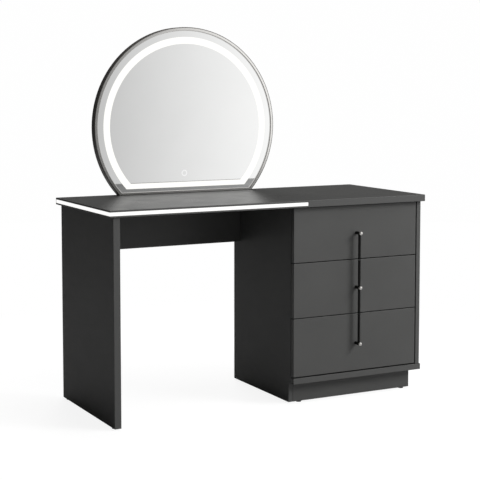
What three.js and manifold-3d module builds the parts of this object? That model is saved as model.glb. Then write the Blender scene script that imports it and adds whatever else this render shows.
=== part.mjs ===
// A vanity table: a lit top on a side panel and a three-drawer cabinet, with a round lit mirror on it.
// Millimetres, +Z up. The desk's own coordinates start on the floor under the top's front left corner:
// x runs along the top, y runs from its front edge to its back edge, z runs up.
import * as THREE from "three";
import { mergeVertices } from "three/addons/utils/BufferGeometryUtils.js";
import Module from "manifold-3d";

const wasm = await Module();
wasm.setup();

// ---------------------------------------------------------------- driving dimensions
const FIT = 0.3; // gap between two pieces that rest on or fit into each other
const THROUGH = 5; // how far a cutting shape runs past the face that it opens
const BITE = 0.5; // how far two shapes that are joined run into each other
const ARRIS = 1.5; // rounding where a board's face meets its edge band

const TOP_WIDTH = 1280;
const TOP_DEPTH = 530;
const TOP_HEIGHT = 750;
const TOP_THICKNESS = 25;

const STRIP_HEIGHT = 12; // the white light strip let into the top's edge
const STRIP_DEPTH = 6;
const STRIP_UPPER_LIP = 7; // board left above the strip
const STRIP_PAST_CABINET = 48; // how far it runs past the cabinet's inner side
const STRIP_BACK_WALL = 4; // board left between its end and the top's back edge

const GLIDE_HEIGHT = 4;
const GLIDE_RADIUS = 10;
const GLIDE_INSET = 30; // from the end of a panel to a glide's centre

const LEG_THICKNESS = 25;
const LEG_OVERHANG = 15; // the top's left end beyond the leg panel
const LEG_FRONT = 8; // from the top's front edge
const LEG_BACK_INSET = 15;

const APRON_THICKNESS = 16;
const APRON_INSET = 35; // from the cabinet's back to the apron's
const APRON_HEIGHT = 170;

const CABINET_WIDTH = 555;
const CABINET_RIGHT_INSET = 6; // from the top's right end
const CABINET_BACK_INSET = 40; // from the top's back edge
const CABINET_FACE = 20; // from the top's front edge to the plane of the drawer fronts
const INNER_SIDE_THICKNESS = 18;
const OUTER_SIDE_THICKNESS = 18;
const BACK_THICKNESS = 5;
const BACK_INSET = 6; // the back panel sits this far inside the sides' back edges
const THIN_ARRIS = 0.5; // the arris of a thin panel

const BOTTOM_THICKNESS = 22;
const BOTTOM_Z = 76; // the bottom board's underside, from the floor
const BOTTOM_RIGHT_LIP = 6; // the bottom board beyond the cabinet's outer side

const PLINTH_THICKNESS = 18;
const PLINTH_FRONT_INSET = 36;
const PLINTH_RIGHT_INSET = 28.5;
const PLINTH_BACK_INSET = 20;

const DRAWERS = ["top", "middle", "bottom"];
const FRONT_THICKNESS = 18;
const FRONT_BUFFER = 4; // between a shut front and the inner side's front edge
const FRONT_GAP = 3; // between two drawer fronts
const FRONT_TOP_GAP = 3; // under the top
const FRONT_BOTTOM_GAP = 5; // over the bottom board
const FRONT_SIDE_GAP = 4; // beside the outer side
const FRONT_EXTRA = 14; // the bottom front is this much taller than the other two

const BOX_WALL = 12;
const BOX_RAISE = 16; // from a front's lower edge to its box
const BOX_DROP = 28; // from a front's upper edge to its box
const BOX_BACK_CLEARANCE = 40; // from a box to the cabinet's back
const BOX_BOTTOM_THICKNESS = 5;
const BOX_BOTTOM_RAISE = 8;

const RAIL_SPACE = 13; // between a drawer box and a cabinet side
const RAIL_HEIGHT = 45;
const RAIL_SHEET = 1.5;
const RAIL_RUNNING_GAP = 0.8;
const RAIL_BACK_CLEARANCE = 36; // from the rails' ends to the cabinet's back
const RAIL_FRONT_CLEARANCE = 4; // from a drawer front's back to the rails

const HANDLE_RADIUS = 5;
const POST_RADIUS = 5.8;
const CAP_RADIUS = 6.4;
const CAP_LENGTH = 7.5;
const CAP_CHAMFER = 1.2;
const HANDLE_STANDOFF = 22; // from the drawer fronts to the bar's centre
const HANDLE_BREAK = 2; // between two bars, centred on the gap between two fronts
const POST_DROP = 3; // a post's centre below the middle of its front

const MIRROR_RADIUS = 378;
const MIRROR_RISE = 254.5; // from the top to the circle's centre
const MIRROR_X = 517.5; // from the top's left end to the circle's centre
const MIRROR_BACK_INSET = 8.5; // from the top's back edge
const FRAME_DEPTH = 31;
const FRAME_FACE = 12;
const FRAME_FOOT_FACE = 8; // the same face where the frame runs straight along the top
const FRAME_LIP = 5; // thickness of the frame's front lip, and the glass's recess
const FRAME_WALL = 3;
const FRAME_FOOT_WALL = 2;
const GLASS_THICKNESS = 5;
const BAND_OUTER_INSET = 37; // from the circle to the lit band
const BAND_WIDTH = 26;
const BAND_CHORD_RISE = 22; // from the frame's lower edge to the lit band
const BAND_CHORD_WIDTH = 20;
const BAND_THICKNESS = 1.2;
const SWITCH_RADIUS = 12;
const SWITCH_RISE = 76; // from the top to the touch switch's centre
const SWITCH_OFFSET = -10;
const MIRROR_BACK_THICKNESS = 4;
const MIRROR_BACK_RECESS = 2;
const DRIVER_SIZE = [120, 30, 8];
const DRIVER_ARRIS = 1;
const DRIVER_RISE = 40;
const INLET_RADIUS = 6;
const INLET_FLANGE_RADIUS = 8;
const INLET_FLANGE = 1.4;
const INLET_LENGTH = 11;
const INLET_SOCKET_RADIUS = 4;
const INLET_SOCKET_DEPTH = 9;
const INLET_PIN_RADIUS = 1;
const INLET_RISE = 110;
const INLET_OFFSET = 180;
const BOLT_SPACING = 320;
const BOLT_RADIUS = 3;
const BOLT_CLEARANCE = 0.3;
const BOLT_HEAD_RADIUS = 7;
const BOLT_HEAD_HEIGHT = 4;
const BOLT_GRIP = 14; // how far a bolt reaches into the mirror

// ---------------------------------------------------------------- places that follow from them
const TOP_UNDER = TOP_HEIGHT - TOP_THICKNESS;
const LEG_BACK = TOP_DEPTH - LEG_BACK_INSET;
const CABINET_RIGHT = TOP_WIDTH - CABINET_RIGHT_INSET;
const CABINET_LEFT = CABINET_RIGHT - CABINET_WIDTH;
const CABINET_BACK = TOP_DEPTH - CABINET_BACK_INSET;
const APRON_BACK = CABINET_BACK - APRON_INSET;
const MIRROR_BACK = TOP_DEPTH - MIRROR_BACK_INSET;
const BOTTOM_TOP = BOTTOM_Z + BOTTOM_THICKNESS;
const INSIDE_LEFT = CABINET_LEFT + INNER_SIDE_THICKNESS;
const INSIDE_RIGHT = CABINET_RIGHT - OUTER_SIDE_THICKNESS;
const FRONT_BACK = CABINET_FACE + FRONT_THICKNESS; // the back of the drawer fronts
const SIDE_FRONT = FRONT_BACK + FRONT_BUFFER; // the front edge of the cabinet's inner side
const PLINTH_FRONT = CABINET_FACE + PLINTH_FRONT_INSET;
const BACK_PANEL_FRONT = CABINET_BACK - BACK_INSET - BACK_THICKNESS;
const FRONT_RIGHT = INSIDE_RIGHT - FRONT_SIDE_GAP;
const HANDLE_X = (CABINET_LEFT + FRONT_RIGHT) / 2;
const STRIP_END = CABINET_LEFT + STRIP_PAST_CABINET;
const STRIP_TOP = TOP_HEIGHT - STRIP_UPPER_LIP;

// Each drawer front's lower and upper edge: two of one height, and a bottom one that is taller.
const frontOpening = TOP_UNDER - FRONT_TOP_GAP - BOTTOM_TOP - FRONT_BOTTOM_GAP - 2 * FRONT_GAP;
const frontHeight = (frontOpening - FRONT_EXTRA) / 3;
const fronts = DRAWERS.map((drawer, row) => {
  const upper = TOP_UNDER - FRONT_TOP_GAP - row * (frontHeight + FRONT_GAP);
  const height = frontHeight + (drawer === "bottom" ? FRONT_EXTRA : 0);
  return { drawer, row, lower: upper - height, upper };
});

// ---------------------------------------------------------------- materials
function finish(color, roughness, metalness = 0) {
  return new THREE.MeshStandardMaterial({ color, roughness, metalness });
}

function lit(color) {
  return new THREE.MeshStandardMaterial({ color, emissive: color, roughness: 0.5 });
}

const CHARCOAL = () => finish(0x565754, 0.5);
const INTERIOR = () => finish(0x8a8986, 0.6);
const BLACK_PLASTIC = () => finish(0x161616, 0.6);
const BLACK_METAL = () => finish(0x141414, 0.35, 0.6);
const CAP_METAL = () => finish(0xcfcac2, 0.25, 1);
const RAIL_STEEL = () => finish(0xa9adb0, 0.35, 1);
const FRAME_METAL = () => finish(0x8d8c89, 0.3, 1);
const MIRROR_SILVER = () => finish(0xe6e8e8, 0.03, 1);

// ---------------------------------------------------------------- helpers
const WORLD = [new THREE.Vector3(1, 0, 0), new THREE.Vector3(0, 1, 0), new THREE.Vector3(0, 0, 1)];

function piece(name, geometry, material) {
  const mesh = new THREE.Mesh(geometry, material);
  mesh.name = name;
  return mesh;
}

// A board between two corners, with the arrises of its two faces rounded.
function boardShape(low, high, arris = ARRIS) {
  const size = high.map((value, axis) => value - low[axis]);
  const w = size.indexOf(Math.min(...size));
  const [u, v] = [(w + 1) % 3, (w + 2) % 3];
  const corners = [[low[u], low[v]], [high[u], low[v]], [high[u], high[v]], [low[u], high[v]]];
  return sheetShape(corners, w, low[w], size[w], arris);
}

// A sheet with a cornered outline, square to axis w, with the arrises of its two faces rounded.
function sheetShape(corners, w, start, thickness, arris = ARRIS) {
  const [u, v] = [(w + 1) % 3, (w + 2) % 3];
  const outline = new THREE.Shape(corners.map(([x, y]) => new THREE.Vector2(x, y)));
  const geometry = new THREE.ExtrudeGeometry(outline, {
    depth: thickness - 2 * arris,
    bevelEnabled: arris > 0,
    bevelThickness: arris,
    bevelSize: arris,
    bevelOffset: -arris,
    bevelSegments: 2,
  });
  geometry.translate(0, 0, start + arris);
  return geometry.applyMatrix4(new THREE.Matrix4().makeBasis(WORLD[u], WORLD[v], WORLD[w]));
}

function board(name, low, high, material, arris) {
  return piece(name, boardShape(low, high, arris), material);
}

// An outline of straight runs, extruded along its own z from start to end.
function prism(points, start, end) {
  const outline = new THREE.Shape(points.map(([x, y]) => new THREE.Vector2(x, y)));
  const geometry = new THREE.ExtrudeGeometry(outline, { depth: end - start, bevelEnabled: false });
  return geometry.translate(0, 0, start);
}

// A closed cylinder with its axis along the world's y or z, from start to end on that axis.
function rod(radius, axis, start, end, across, sides = 32) {
  const geometry = new THREE.CylinderGeometry(radius, radius, end - start, sides);
  const middle = (start + end) / 2;
  if (axis === "z") {
    geometry.rotateX(Math.PI / 2);
    return geometry.translate(across[0], across[1], middle);
  }
  return geometry.translate(across[0], middle, across[1]);
}

function solid(geometry) {
  const bare = geometry.clone();
  bare.deleteAttribute("normal");
  bare.deleteAttribute("uv");
  const merged = mergeVertices(bare, 1e-4);
  return new wasm.Manifold(
    new wasm.Mesh({
      numProp: 3,
      vertProperties: merged.attributes.position.array,
      triVerts: new Uint32Array(merged.index.array),
    }),
  );
}

function surface(manifold) {
  const mesh = manifold.getMesh();
  const geometry = new THREE.BufferGeometry();
  geometry.setAttribute("position", new THREE.BufferAttribute(mesh.vertProperties, 3));
  geometry.setIndex(new THREE.BufferAttribute(mesh.triVerts, 1));
  geometry.computeVertexNormals();
  return geometry;
}

function join(first, ...others) {
  return surface(others.reduce((sum, other) => sum.add(solid(other)), solid(first)));
}

function cut(first, ...others) {
  return surface(others.reduce((rest, other) => rest.subtract(solid(other)), solid(first)));
}

// ---------------------------------------------------------------- the top and its light strip
// The strip's outline in plan: along the left edge and round the corner to its end on the front edge.
// grow widens it inwards and outwards to make the groove that it is pressed into.
function stripOutline(grow) {
  const inner = STRIP_DEPTH + grow;
  const outer = -grow;
  const back = TOP_DEPTH - STRIP_BACK_WALL + grow;
  const end = STRIP_END + grow;
  return [[outer, outer], [end, outer], [end, inner], [inner, inner], [inner, back], [outer, back]];
}

function mirrorBolts() {
  const y = MIRROR_BACK - FRAME_DEPTH / 2;
  return [-1, 1].map((side) => [MIRROR_X + (side * BOLT_SPACING) / 2, y]);
}

function top() {
  const group = new THREE.Group();
  const slab = boardShape([0, 0, TOP_UNDER], [TOP_WIDTH, TOP_DEPTH, TOP_HEIGHT]);
  const groove = prism(stripOutline(FIT), STRIP_TOP - STRIP_HEIGHT - FIT, STRIP_TOP + FIT);
  const holes = mirrorBolts().map((at) =>
    rod(BOLT_RADIUS + BOLT_CLEARANCE, "z", TOP_UNDER - THROUGH, TOP_HEIGHT + THROUGH, at),
  );
  group.add(piece("tabletop", cut(slab, groove, ...holes), CHARCOAL()));
  const strip = prism(stripOutline(0), STRIP_TOP - STRIP_HEIGHT, STRIP_TOP);
  group.add(piece("edge_light_strip", strip, lit(0xffffff)));
  return group;
}

// ---------------------------------------------------------------- the leg panel, apron and glides
function glide(name, x, y) {
  return piece(name, rod(GLIDE_RADIUS, "z", 0, GLIDE_HEIGHT - FIT, [x, y]), BLACK_PLASTIC());
}

function leg() {
  const group = new THREE.Group();
  const right = LEG_OVERHANG + LEG_THICKNESS;
  const middle = LEG_OVERHANG + LEG_THICKNESS / 2;
  const low = [LEG_OVERHANG, LEG_FRONT, GLIDE_HEIGHT];
  group.add(board("left_leg_panel", low, [right, LEG_BACK, TOP_UNDER - FIT], CHARCOAL()));
  group.add(glide("leg_glide_front", middle, LEG_FRONT + GLIDE_INSET));
  group.add(glide("leg_glide_rear", middle, LEG_BACK - GLIDE_INSET));
  const apronLow = [right + FIT, APRON_BACK - APRON_THICKNESS, TOP_UNDER - APRON_HEIGHT];
  const apronHigh = [CABINET_LEFT - FIT, APRON_BACK, TOP_UNDER - FIT];
  group.add(board("rear_apron", apronLow, apronHigh, CHARCOAL()));
  return group;
}

// ---------------------------------------------------------------- the cabinet's case
// The inner side runs down past the bottom board, whose front nose reaches out over the side's front edge.
function bottomShape() {
  const right = CABINET_RIGHT + BOTTOM_RIGHT_LIP;
  const [inside, nose] = [INSIDE_LEFT + FIT, SIDE_FRONT - FIT];
  const corners = [
    [CABINET_LEFT, CABINET_FACE],
    [right, CABINET_FACE],
    [right, CABINET_BACK],
    [inside, CABINET_BACK],
    [inside, nose],
    [CABINET_LEFT, nose],
  ];
  return sheetShape(corners, 2, BOTTOM_Z, BOTTOM_THICKNESS);
}

// Under the bottom board, the inner side's front edge steps back to the plinth's front.
function innerSideShape() {
  const high = TOP_UNDER - FIT;
  const corners = [
    [PLINTH_FRONT, GLIDE_HEIGHT],
    [CABINET_BACK, GLIDE_HEIGHT],
    [CABINET_BACK, high],
    [SIDE_FRONT, high],
    [SIDE_FRONT, BOTTOM_Z],
    [PLINTH_FRONT, BOTTOM_Z],
  ];
  return sheetShape(corners, 0, CABINET_LEFT, INNER_SIDE_THICKNESS);
}

function cabinet() {
  const group = new THREE.Group();
  const low = BOTTOM_TOP + FIT;
  const high = TOP_UNDER - FIT;
  const parts = {
    cabinet_outer_side: [
      [INSIDE_RIGHT, CABINET_FACE, low],
      [CABINET_RIGHT, CABINET_BACK, high],
    ],
  };
  for (const [name, [from, to]] of Object.entries(parts)) group.add(board(name, from, to, CHARCOAL()));
  group.add(piece("cabinet_bottom", bottomShape(), CHARCOAL()));
  group.add(piece("cabinet_inner_side", innerSideShape(), CHARCOAL()));
  const backLow = [INSIDE_LEFT + FIT, BACK_PANEL_FRONT, low];
  const backHigh = [INSIDE_RIGHT - FIT, BACK_PANEL_FRONT + BACK_THICKNESS, high];
  group.add(board("cabinet_back", backLow, backHigh, CHARCOAL(), THIN_ARRIS));
  return group;
}

// ---------------------------------------------------------------- the plinth under the cabinet
function plinth() {
  const group = new THREE.Group();
  const left = INSIDE_LEFT + FIT;
  const right = CABINET_RIGHT + BOTTOM_RIGHT_LIP - PLINTH_RIGHT_INSET;
  const front = PLINTH_FRONT;
  const back = CABINET_BACK - PLINTH_BACK_INSET;
  const low = GLIDE_HEIGHT;
  const high = BOTTOM_Z - FIT;
  const sideFront = front + PLINTH_THICKNESS + FIT;
  const sideBack = back - PLINTH_THICKNESS - FIT;
  const parts = {
    plinth_front: [[left, front, low], [right, front + PLINTH_THICKNESS, high]],
    plinth_back: [[left, back - PLINTH_THICKNESS, low], [right, back, high]],
    plinth_outer_side: [[right - PLINTH_THICKNESS, sideFront, low], [right, sideBack, high]],
  };
  for (const [name, [from, to]] of Object.entries(parts)) group.add(board(name, from, to, CHARCOAL()));
  const rows = { front: front + GLIDE_RADIUS, rear: back - GLIDE_RADIUS };
  const columns = { inner: left + GLIDE_INSET, outer: right - GLIDE_INSET };
  for (const [row, y] of Object.entries(rows)) {
    for (const [column, x] of Object.entries(columns)) {
      group.add(glide(`plinth_glide_${row}_${column}`, x, y));
    }
  }
  return group;
}

// ---------------------------------------------------------------- drawer rails
// A rail's section: a web and two flanges that point along +x, centred on z = 0 and starting at x = 0.
function channel(height, depth) {
  const half = height / 2;
  const web = RAIL_SHEET;
  const lip = half - RAIL_SHEET;
  const lower = [[0, -half], [depth, -half], [depth, -lip], [web, -lip]];
  const upper = lower.map(([x, y]) => [x, -y]).reverse();
  return [...lower, ...upper];
}

// side is "left" or "right"; web is the distance of the web's outer face from the cabinet side.
// The flanges point into the rail space, away from the cabinet side or, with facing -1, towards it.
function rail(name, side, height, depth, web, facing, y, z) {
  const geometry = prism(channel(height, depth), y[0], y[1]);
  geometry.applyMatrix4(new THREE.Matrix4().makeBasis(WORLD[0], WORLD[2], WORLD[1].clone().negate()));
  geometry.translate(0, y[0] + y[1], 0);
  const inward = side === "left" ? 1 : -1;
  const wall = side === "left" ? INSIDE_LEFT : INSIDE_RIGHT;
  if (inward * facing < 0) geometry.rotateZ(Math.PI).translate(0, y[0] + y[1], 0);
  geometry.translate(wall + inward * web, 0, z);
  return piece(name, geometry, RAIL_STEEL());
}

// The three telescoping rails of one side of a drawer, each nested in the one before.
function rails(drawer, side, z) {
  const y = [FRONT_BACK + RAIL_FRONT_CLEARANCE, BACK_PANEL_FRONT - RAIL_BACK_CLEARANCE];
  const step = 2 * (RAIL_SHEET + RAIL_RUNNING_GAP);
  const centreHeight = RAIL_HEIGHT - step;
  const drawerHeight = centreHeight - step;
  const webStep = RAIL_SHEET + RAIL_RUNNING_GAP;
  const depth = RAIL_SPACE - 2 * RAIL_SHEET;
  const drawerWeb = RAIL_SPACE - FIT;
  const drawerDepth = drawerWeb - 2 * webStep - FIT;
  const end = `${drawer}_${side}`;
  return [
    rail(`rail_cabinet_${end}`, side, RAIL_HEIGHT, depth, FIT, 1, y, z),
    rail(`rail_centre_${end}`, side, centreHeight, depth - webStep, FIT + webStep, 1, y, z),
    rail(`rail_drawer_${end}`, side, drawerHeight, drawerDepth, drawerWeb, -1, y, z),
  ];
}

// ---------------------------------------------------------------- the drawers
function drawerBox({ drawer, lower, upper }) {
  const group = new THREE.Group();
  const [left, right] = [INSIDE_LEFT + RAIL_SPACE, INSIDE_RIGHT - RAIL_SPACE];
  const front = FRONT_BACK + FIT;
  const back = BACK_PANEL_FRONT - BOX_BACK_CLEARANCE;
  const [low, high] = [lower + BOX_RAISE, upper - BOX_DROP];
  const [innerLeft, innerRight, innerBack] = [left + BOX_WALL, right - BOX_WALL, back - BOX_WALL];
  const wrap = prism(
    [
      [left, front], [innerLeft, front], [innerLeft, innerBack], [innerRight, innerBack],
      [innerRight, front], [right, front], [right, back], [left, back],
    ],
    low,
    high,
  );
  group.add(piece(`drawer_box_${drawer}`, wrap, INTERIOR()));
  const panelLow = [innerLeft + FIT, front, low + BOX_BOTTOM_RAISE];
  const panelHigh = [innerRight - FIT, innerBack - FIT, low + BOX_BOTTOM_RAISE + BOX_BOTTOM_THICKNESS];
  group.add(board(`drawer_bottom_${drawer}`, panelLow, panelHigh, INTERIOR(), THIN_ARRIS));
  return group;
}

// The bar runs from its post to the gap at each neighbour, so the three bars line up as one.
function handle({ drawer, row, lower, upper }) {
  const group = new THREE.Group();
  const postZ = (lower + upper) / 2 - POST_DROP;
  const barY = CABINET_FACE - HANDLE_STANDOFF;
  const toNeighbour = (FRONT_GAP - HANDLE_BREAK) / 2;
  const barTop = row === 0 ? postZ : upper + toNeighbour;
  const barBottom = row === DRAWERS.length - 1 ? postZ : lower - toNeighbour;
  const bar = rod(HANDLE_RADIUS, "z", barBottom, barTop, [HANDLE_X, barY]);
  const capBack = barY - HANDLE_RADIUS - FIT;
  const post = rod(POST_RADIUS, "y", capBack + FIT, CABINET_FACE - FIT, [HANDLE_X, postZ]);
  group.add(piece(`handle_${drawer}`, join(bar, post), BLACK_METAL()));
  const [rim, face] = [CAP_LENGTH - CAP_CHAMFER, CAP_RADIUS - CAP_CHAMFER];
  const profile = [[0, 0], [CAP_RADIUS, 0], [CAP_RADIUS, rim], [face, CAP_LENGTH], [0, CAP_LENGTH]];
  const cap = new THREE.LatheGeometry(profile.map(([x, y]) => new THREE.Vector2(x, y)), 32);
  cap.rotateX(Math.PI).translate(HANDLE_X, capBack, postZ);
  group.add(piece(`handle_cap_${drawer}`, cap, CAP_METAL()));
  return group;
}

function drawers() {
  const group = new THREE.Group();
  for (const front of fronts) {
    const low = [CABINET_LEFT, CABINET_FACE, front.lower];
    const high = [FRONT_RIGHT, FRONT_BACK, front.upper];
    const railZ = (front.lower + BOX_RAISE + front.upper - BOX_DROP) / 2;
    group.add(board(`drawer_front_${front.drawer}`, low, high, CHARCOAL()));
    group.add(drawerBox(front));
    group.add(handle(front));
    for (const side of ["left", "right"]) group.add(...rails(front.drawer, side, railZ));
  }
  return group;
}

// ---------------------------------------------------------------- the mirror
// Mirror coordinates: x along the top, y up from the circle's centre, z towards the viewer from the back.
// Its outline is a circle cut off straight where it stands on the top.
const CHORD = FIT - MIRROR_RISE;

function roundOutline(radius, chord, path = new THREE.Shape()) {
  const start = Math.asin(chord / radius);
  path.absarc(0, 0, radius, start, Math.PI - start, false);
  return path;
}

// The outline moved inwards by side on the round stretch and by foot on the straight one.
function plate(side, foot, start, end) {
  const outline = roundOutline(MIRROR_RADIUS - side, CHORD + foot);
  const options = { depth: end - start, bevelEnabled: false, curveSegments: 72 };
  return new THREE.ExtrudeGeometry(outline, options).translate(0, 0, start);
}

function ring(side, foot, width, footWidth, start, end) {
  const outline = roundOutline(MIRROR_RADIUS - side, CHORD + foot);
  outline.holes.push(roundOutline(MIRROR_RADIUS - side - width, CHORD + foot + footWidth, new THREE.Path()));
  const options = { depth: end - start, bevelEnabled: false, curveSegments: 72 };
  return new THREE.ExtrudeGeometry(outline, options).translate(0, 0, start);
}

function disc(radius, start, end, x, y) {
  return rod(radius, "z", start, end, [x, y]);
}

function mirror() {
  const group = new THREE.Group();
  const lipBack = FRAME_DEPTH - FRAME_LIP;
  const glassFront = lipBack - FIT;
  const glassBack = glassFront - GLASS_THICKNESS;
  const inside = [FRAME_WALL + FIT, FRAME_FOOT_WALL + FIT];
  const switchAt = [SWITCH_OFFSET, SWITCH_RISE - MIRROR_RISE];
  const bandBack = glassFront - BAND_THICKNESS;

  const lip = ring(0, 0, FRAME_FACE, FRAME_FOOT_FACE, lipBack, FRAME_DEPTH);
  const wall = ring(0, 0, FRAME_WALL, FRAME_FOOT_WALL, 0, lipBack + BITE);
  const boltHoles = [-1, 1].map((side) => {
    const across = [(side * BOLT_SPACING) / 2, FRAME_DEPTH / 2];
    return rod(BOLT_RADIUS + BOLT_CLEARANCE, "y", CHORD - THROUGH, CHORD + THROUGH, across);
  });
  group.add(piece("mirror_frame", cut(join(lip, wall), ...boltHoles), FRAME_METAL()));

  const [grooveSide, grooveFoot] = [BAND_OUTER_INSET - FIT, BAND_CHORD_RISE - FIT];
  const [grooveWidth, grooveFootWidth] = [BAND_WIDTH + 2 * FIT, BAND_CHORD_WIDTH + 2 * FIT];
  const recess = [bandBack - FIT, glassFront + THROUGH];
  const bandGroove = ring(grooveSide, grooveFoot, grooveWidth, grooveFootWidth, ...recess);
  const switchRecess = disc(SWITCH_RADIUS + FIT, ...recess, ...switchAt);
  const glass = plate(...inside, glassBack, glassFront);
  group.add(piece("mirror_glass", cut(glass, bandGroove, switchRecess), MIRROR_SILVER()));
  const band = ring(BAND_OUTER_INSET, BAND_CHORD_RISE, BAND_WIDTH, BAND_CHORD_WIDTH, bandBack, glassFront);
  group.add(piece("mirror_light_band", band, lit(0xfffdf6)));
  group.add(piece("touch_switch", disc(SWITCH_RADIUS, bandBack, glassFront, ...switchAt), lit(0xffffff)));

  const backTop = MIRROR_BACK_RECESS + MIRROR_BACK_THICKNESS;
  const inletAt = [INLET_OFFSET, INLET_RISE - MIRROR_RISE];
  const inletHole = disc(INLET_RADIUS + FIT, MIRROR_BACK_RECESS - THROUGH, backTop + THROUGH, ...inletAt);
  const backBoard = plate(...inside, MIRROR_BACK_RECESS, backTop);
  group.add(piece("mirror_back_board", cut(backBoard, inletHole), BLACK_PLASTIC()));
  const driverLow = [-DRIVER_SIZE[0] / 2, CHORD + DRIVER_RISE, backTop + FIT];
  const driverHigh = driverLow.map((value, axis) => value + DRIVER_SIZE[axis]);
  group.add(board("light_driver", driverLow, driverHigh, finish(0xe8e8e6, 0.5), DRIVER_ARRIS));

  const mouth = MIRROR_BACK_RECESS - FIT - INLET_FLANGE;
  const socketEnd = mouth + INLET_SOCKET_DEPTH;
  const flange = disc(INLET_FLANGE_RADIUS, mouth, mouth + INLET_FLANGE, ...inletAt);
  const barrel = disc(INLET_RADIUS, mouth + BITE, mouth + INLET_LENGTH, ...inletAt);
  const socket = disc(INLET_SOCKET_RADIUS, mouth - THROUGH, socketEnd, ...inletAt);
  const pin = disc(INLET_PIN_RADIUS, mouth + BITE, socketEnd + BITE, ...inletAt);
  group.add(piece("power_inlet", join(cut(join(flange, barrel), socket), pin), BLACK_PLASTIC()));

  group.rotation.x = Math.PI / 2;
  group.position.set(MIRROR_X, MIRROR_BACK, TOP_HEIGHT + MIRROR_RISE);
  return group;
}

// The two bolts that come up through the top into the mirror's frame.
function bolts() {
  const group = new THREE.Group();
  const names = ["mirror_bolt_left", "mirror_bolt_right"];
  mirrorBolts().forEach((at, index) => {
    const headTop = TOP_UNDER - FIT;
    const head = rod(BOLT_HEAD_RADIUS, "z", headTop - BOLT_HEAD_HEIGHT, headTop, at, 24);
    const shank = rod(BOLT_RADIUS, "z", headTop - BITE, TOP_HEIGHT + BOLT_GRIP, at, 24);
    group.add(piece(names[index], join(head, shank), finish(0x9a9a9a, 0.4, 1)));
  });
  return group;
}

// ---------------------------------------------------------------- the whole table
const desk = new THREE.Group();
desk.add(top(), leg(), cabinet(), plinth(), drawers(), mirror(), bolts());

// The origin is on the floor, under the middle of the whole table.
const middle = new THREE.Box3().setFromObject(desk).getCenter(new THREE.Vector3());
desk.position.set(-middle.x, -middle.y, 0);

const table = new THREE.Group();
table.add(desk);
export default table;
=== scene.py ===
# %% [markdown]
# # Dressing a vanity table
# The table is a lit top on a panel leg and a drawer cabinet, with a round lit mirror standing on it.
# A fixed frame already holds every part at its true size, and the drawers already slide in it. This
# lesson makes the finished surfaces around that frame: banded boards, turned metal, glass and light.

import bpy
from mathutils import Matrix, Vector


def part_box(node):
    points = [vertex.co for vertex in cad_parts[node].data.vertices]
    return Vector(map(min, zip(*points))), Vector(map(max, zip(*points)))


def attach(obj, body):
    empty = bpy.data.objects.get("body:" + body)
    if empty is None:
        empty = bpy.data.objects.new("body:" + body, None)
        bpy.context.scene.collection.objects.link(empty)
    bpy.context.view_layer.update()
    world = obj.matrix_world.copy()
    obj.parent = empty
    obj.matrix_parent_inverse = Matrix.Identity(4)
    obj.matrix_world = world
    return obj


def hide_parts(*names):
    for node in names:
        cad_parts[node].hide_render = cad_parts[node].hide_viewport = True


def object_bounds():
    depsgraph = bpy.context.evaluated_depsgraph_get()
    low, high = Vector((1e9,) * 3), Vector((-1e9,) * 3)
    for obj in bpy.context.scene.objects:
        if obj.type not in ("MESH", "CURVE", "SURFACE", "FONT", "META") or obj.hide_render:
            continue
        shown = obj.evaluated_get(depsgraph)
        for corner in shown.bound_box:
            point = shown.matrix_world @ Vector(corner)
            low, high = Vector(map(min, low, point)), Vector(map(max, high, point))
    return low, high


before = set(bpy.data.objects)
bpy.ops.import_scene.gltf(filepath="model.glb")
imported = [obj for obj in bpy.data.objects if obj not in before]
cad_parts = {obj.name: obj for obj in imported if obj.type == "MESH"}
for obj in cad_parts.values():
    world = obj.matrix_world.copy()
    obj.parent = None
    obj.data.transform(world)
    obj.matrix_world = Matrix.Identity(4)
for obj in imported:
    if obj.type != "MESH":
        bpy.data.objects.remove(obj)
cad_low, cad_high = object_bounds()
print("the frame spans", [round(side, 4) for side in cad_high - cad_low], "metres")

# %% The tools used all through
import math

import bmesh
import bpy
from mathutils import Vector

MM = 0.001
X, Y, Z = Vector((1, 0, 0)), Vector((0, 1, 0)), Vector((0, 0, 1))
scene = bpy.context.scene


def corners(node):
    """The lowest and highest corner of a part of the frame."""
    low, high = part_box(node)
    return Vector(low), Vector(high)


top_low, top_high = corners("tabletop")
print("the top is", round(top_high.x - top_low.x, 3), "m wide and", round(top_high.z, 3), "m high")

# %% [markdown]
# ## The camera
# A long lens from far off keeps uprights upright. The camera stands to the left of the table, a little
# above the top, and looks slightly down; a shift of the lens does the rest.

# %% Camera
CAMERA_PLACE = (-2.2385, -4.245, 1.195)
CAMERA_TURN = math.radians(27.65)
CAMERA_DIP = math.radians(4.68)
LENS_LENGTH = 96.9
LENS_SHIFT = (-0.0008, -0.1203)
camera_data = bpy.data.cameras.new("camera")
camera_data.lens = LENS_LENGTH
camera_data.sensor_width = 36
camera_data.shift_x, camera_data.shift_y = LENS_SHIFT
camera_data.clip_end = 60
camera = bpy.data.objects.new("camera", camera_data)
scene.collection.objects.link(camera)
camera.location = CAMERA_PLACE
camera.rotation_euler = (math.pi / 2 - CAMERA_DIP, 0, -CAMERA_TURN)
scene.camera = camera
scene.view_settings.view_transform = "Standard"
print("camera stands", round(camera.location.length, 2), "m from the table's foot")

# %% [markdown]
# ## Node helpers
# Every finish below is a small tree of nodes that reads Object coordinates, which are metres in the
# table's own frame. So a noise of scale 1000 has grains of about a millimetre on every piece.

# %% Node helpers
def new_finish(name):
    """A material with one Principled shader; returns the material, its tree and its shader."""
    material = bpy.data.materials.new(name)
    material.use_nodes = True
    tree = material.node_tree
    return material, tree, tree.nodes["Principled BSDF"]


def tune(material, socket, value):
    """Set one plain value of a finish."""
    material.node_tree.nodes["Principled BSDF"].inputs[socket].default_value = value


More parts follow.
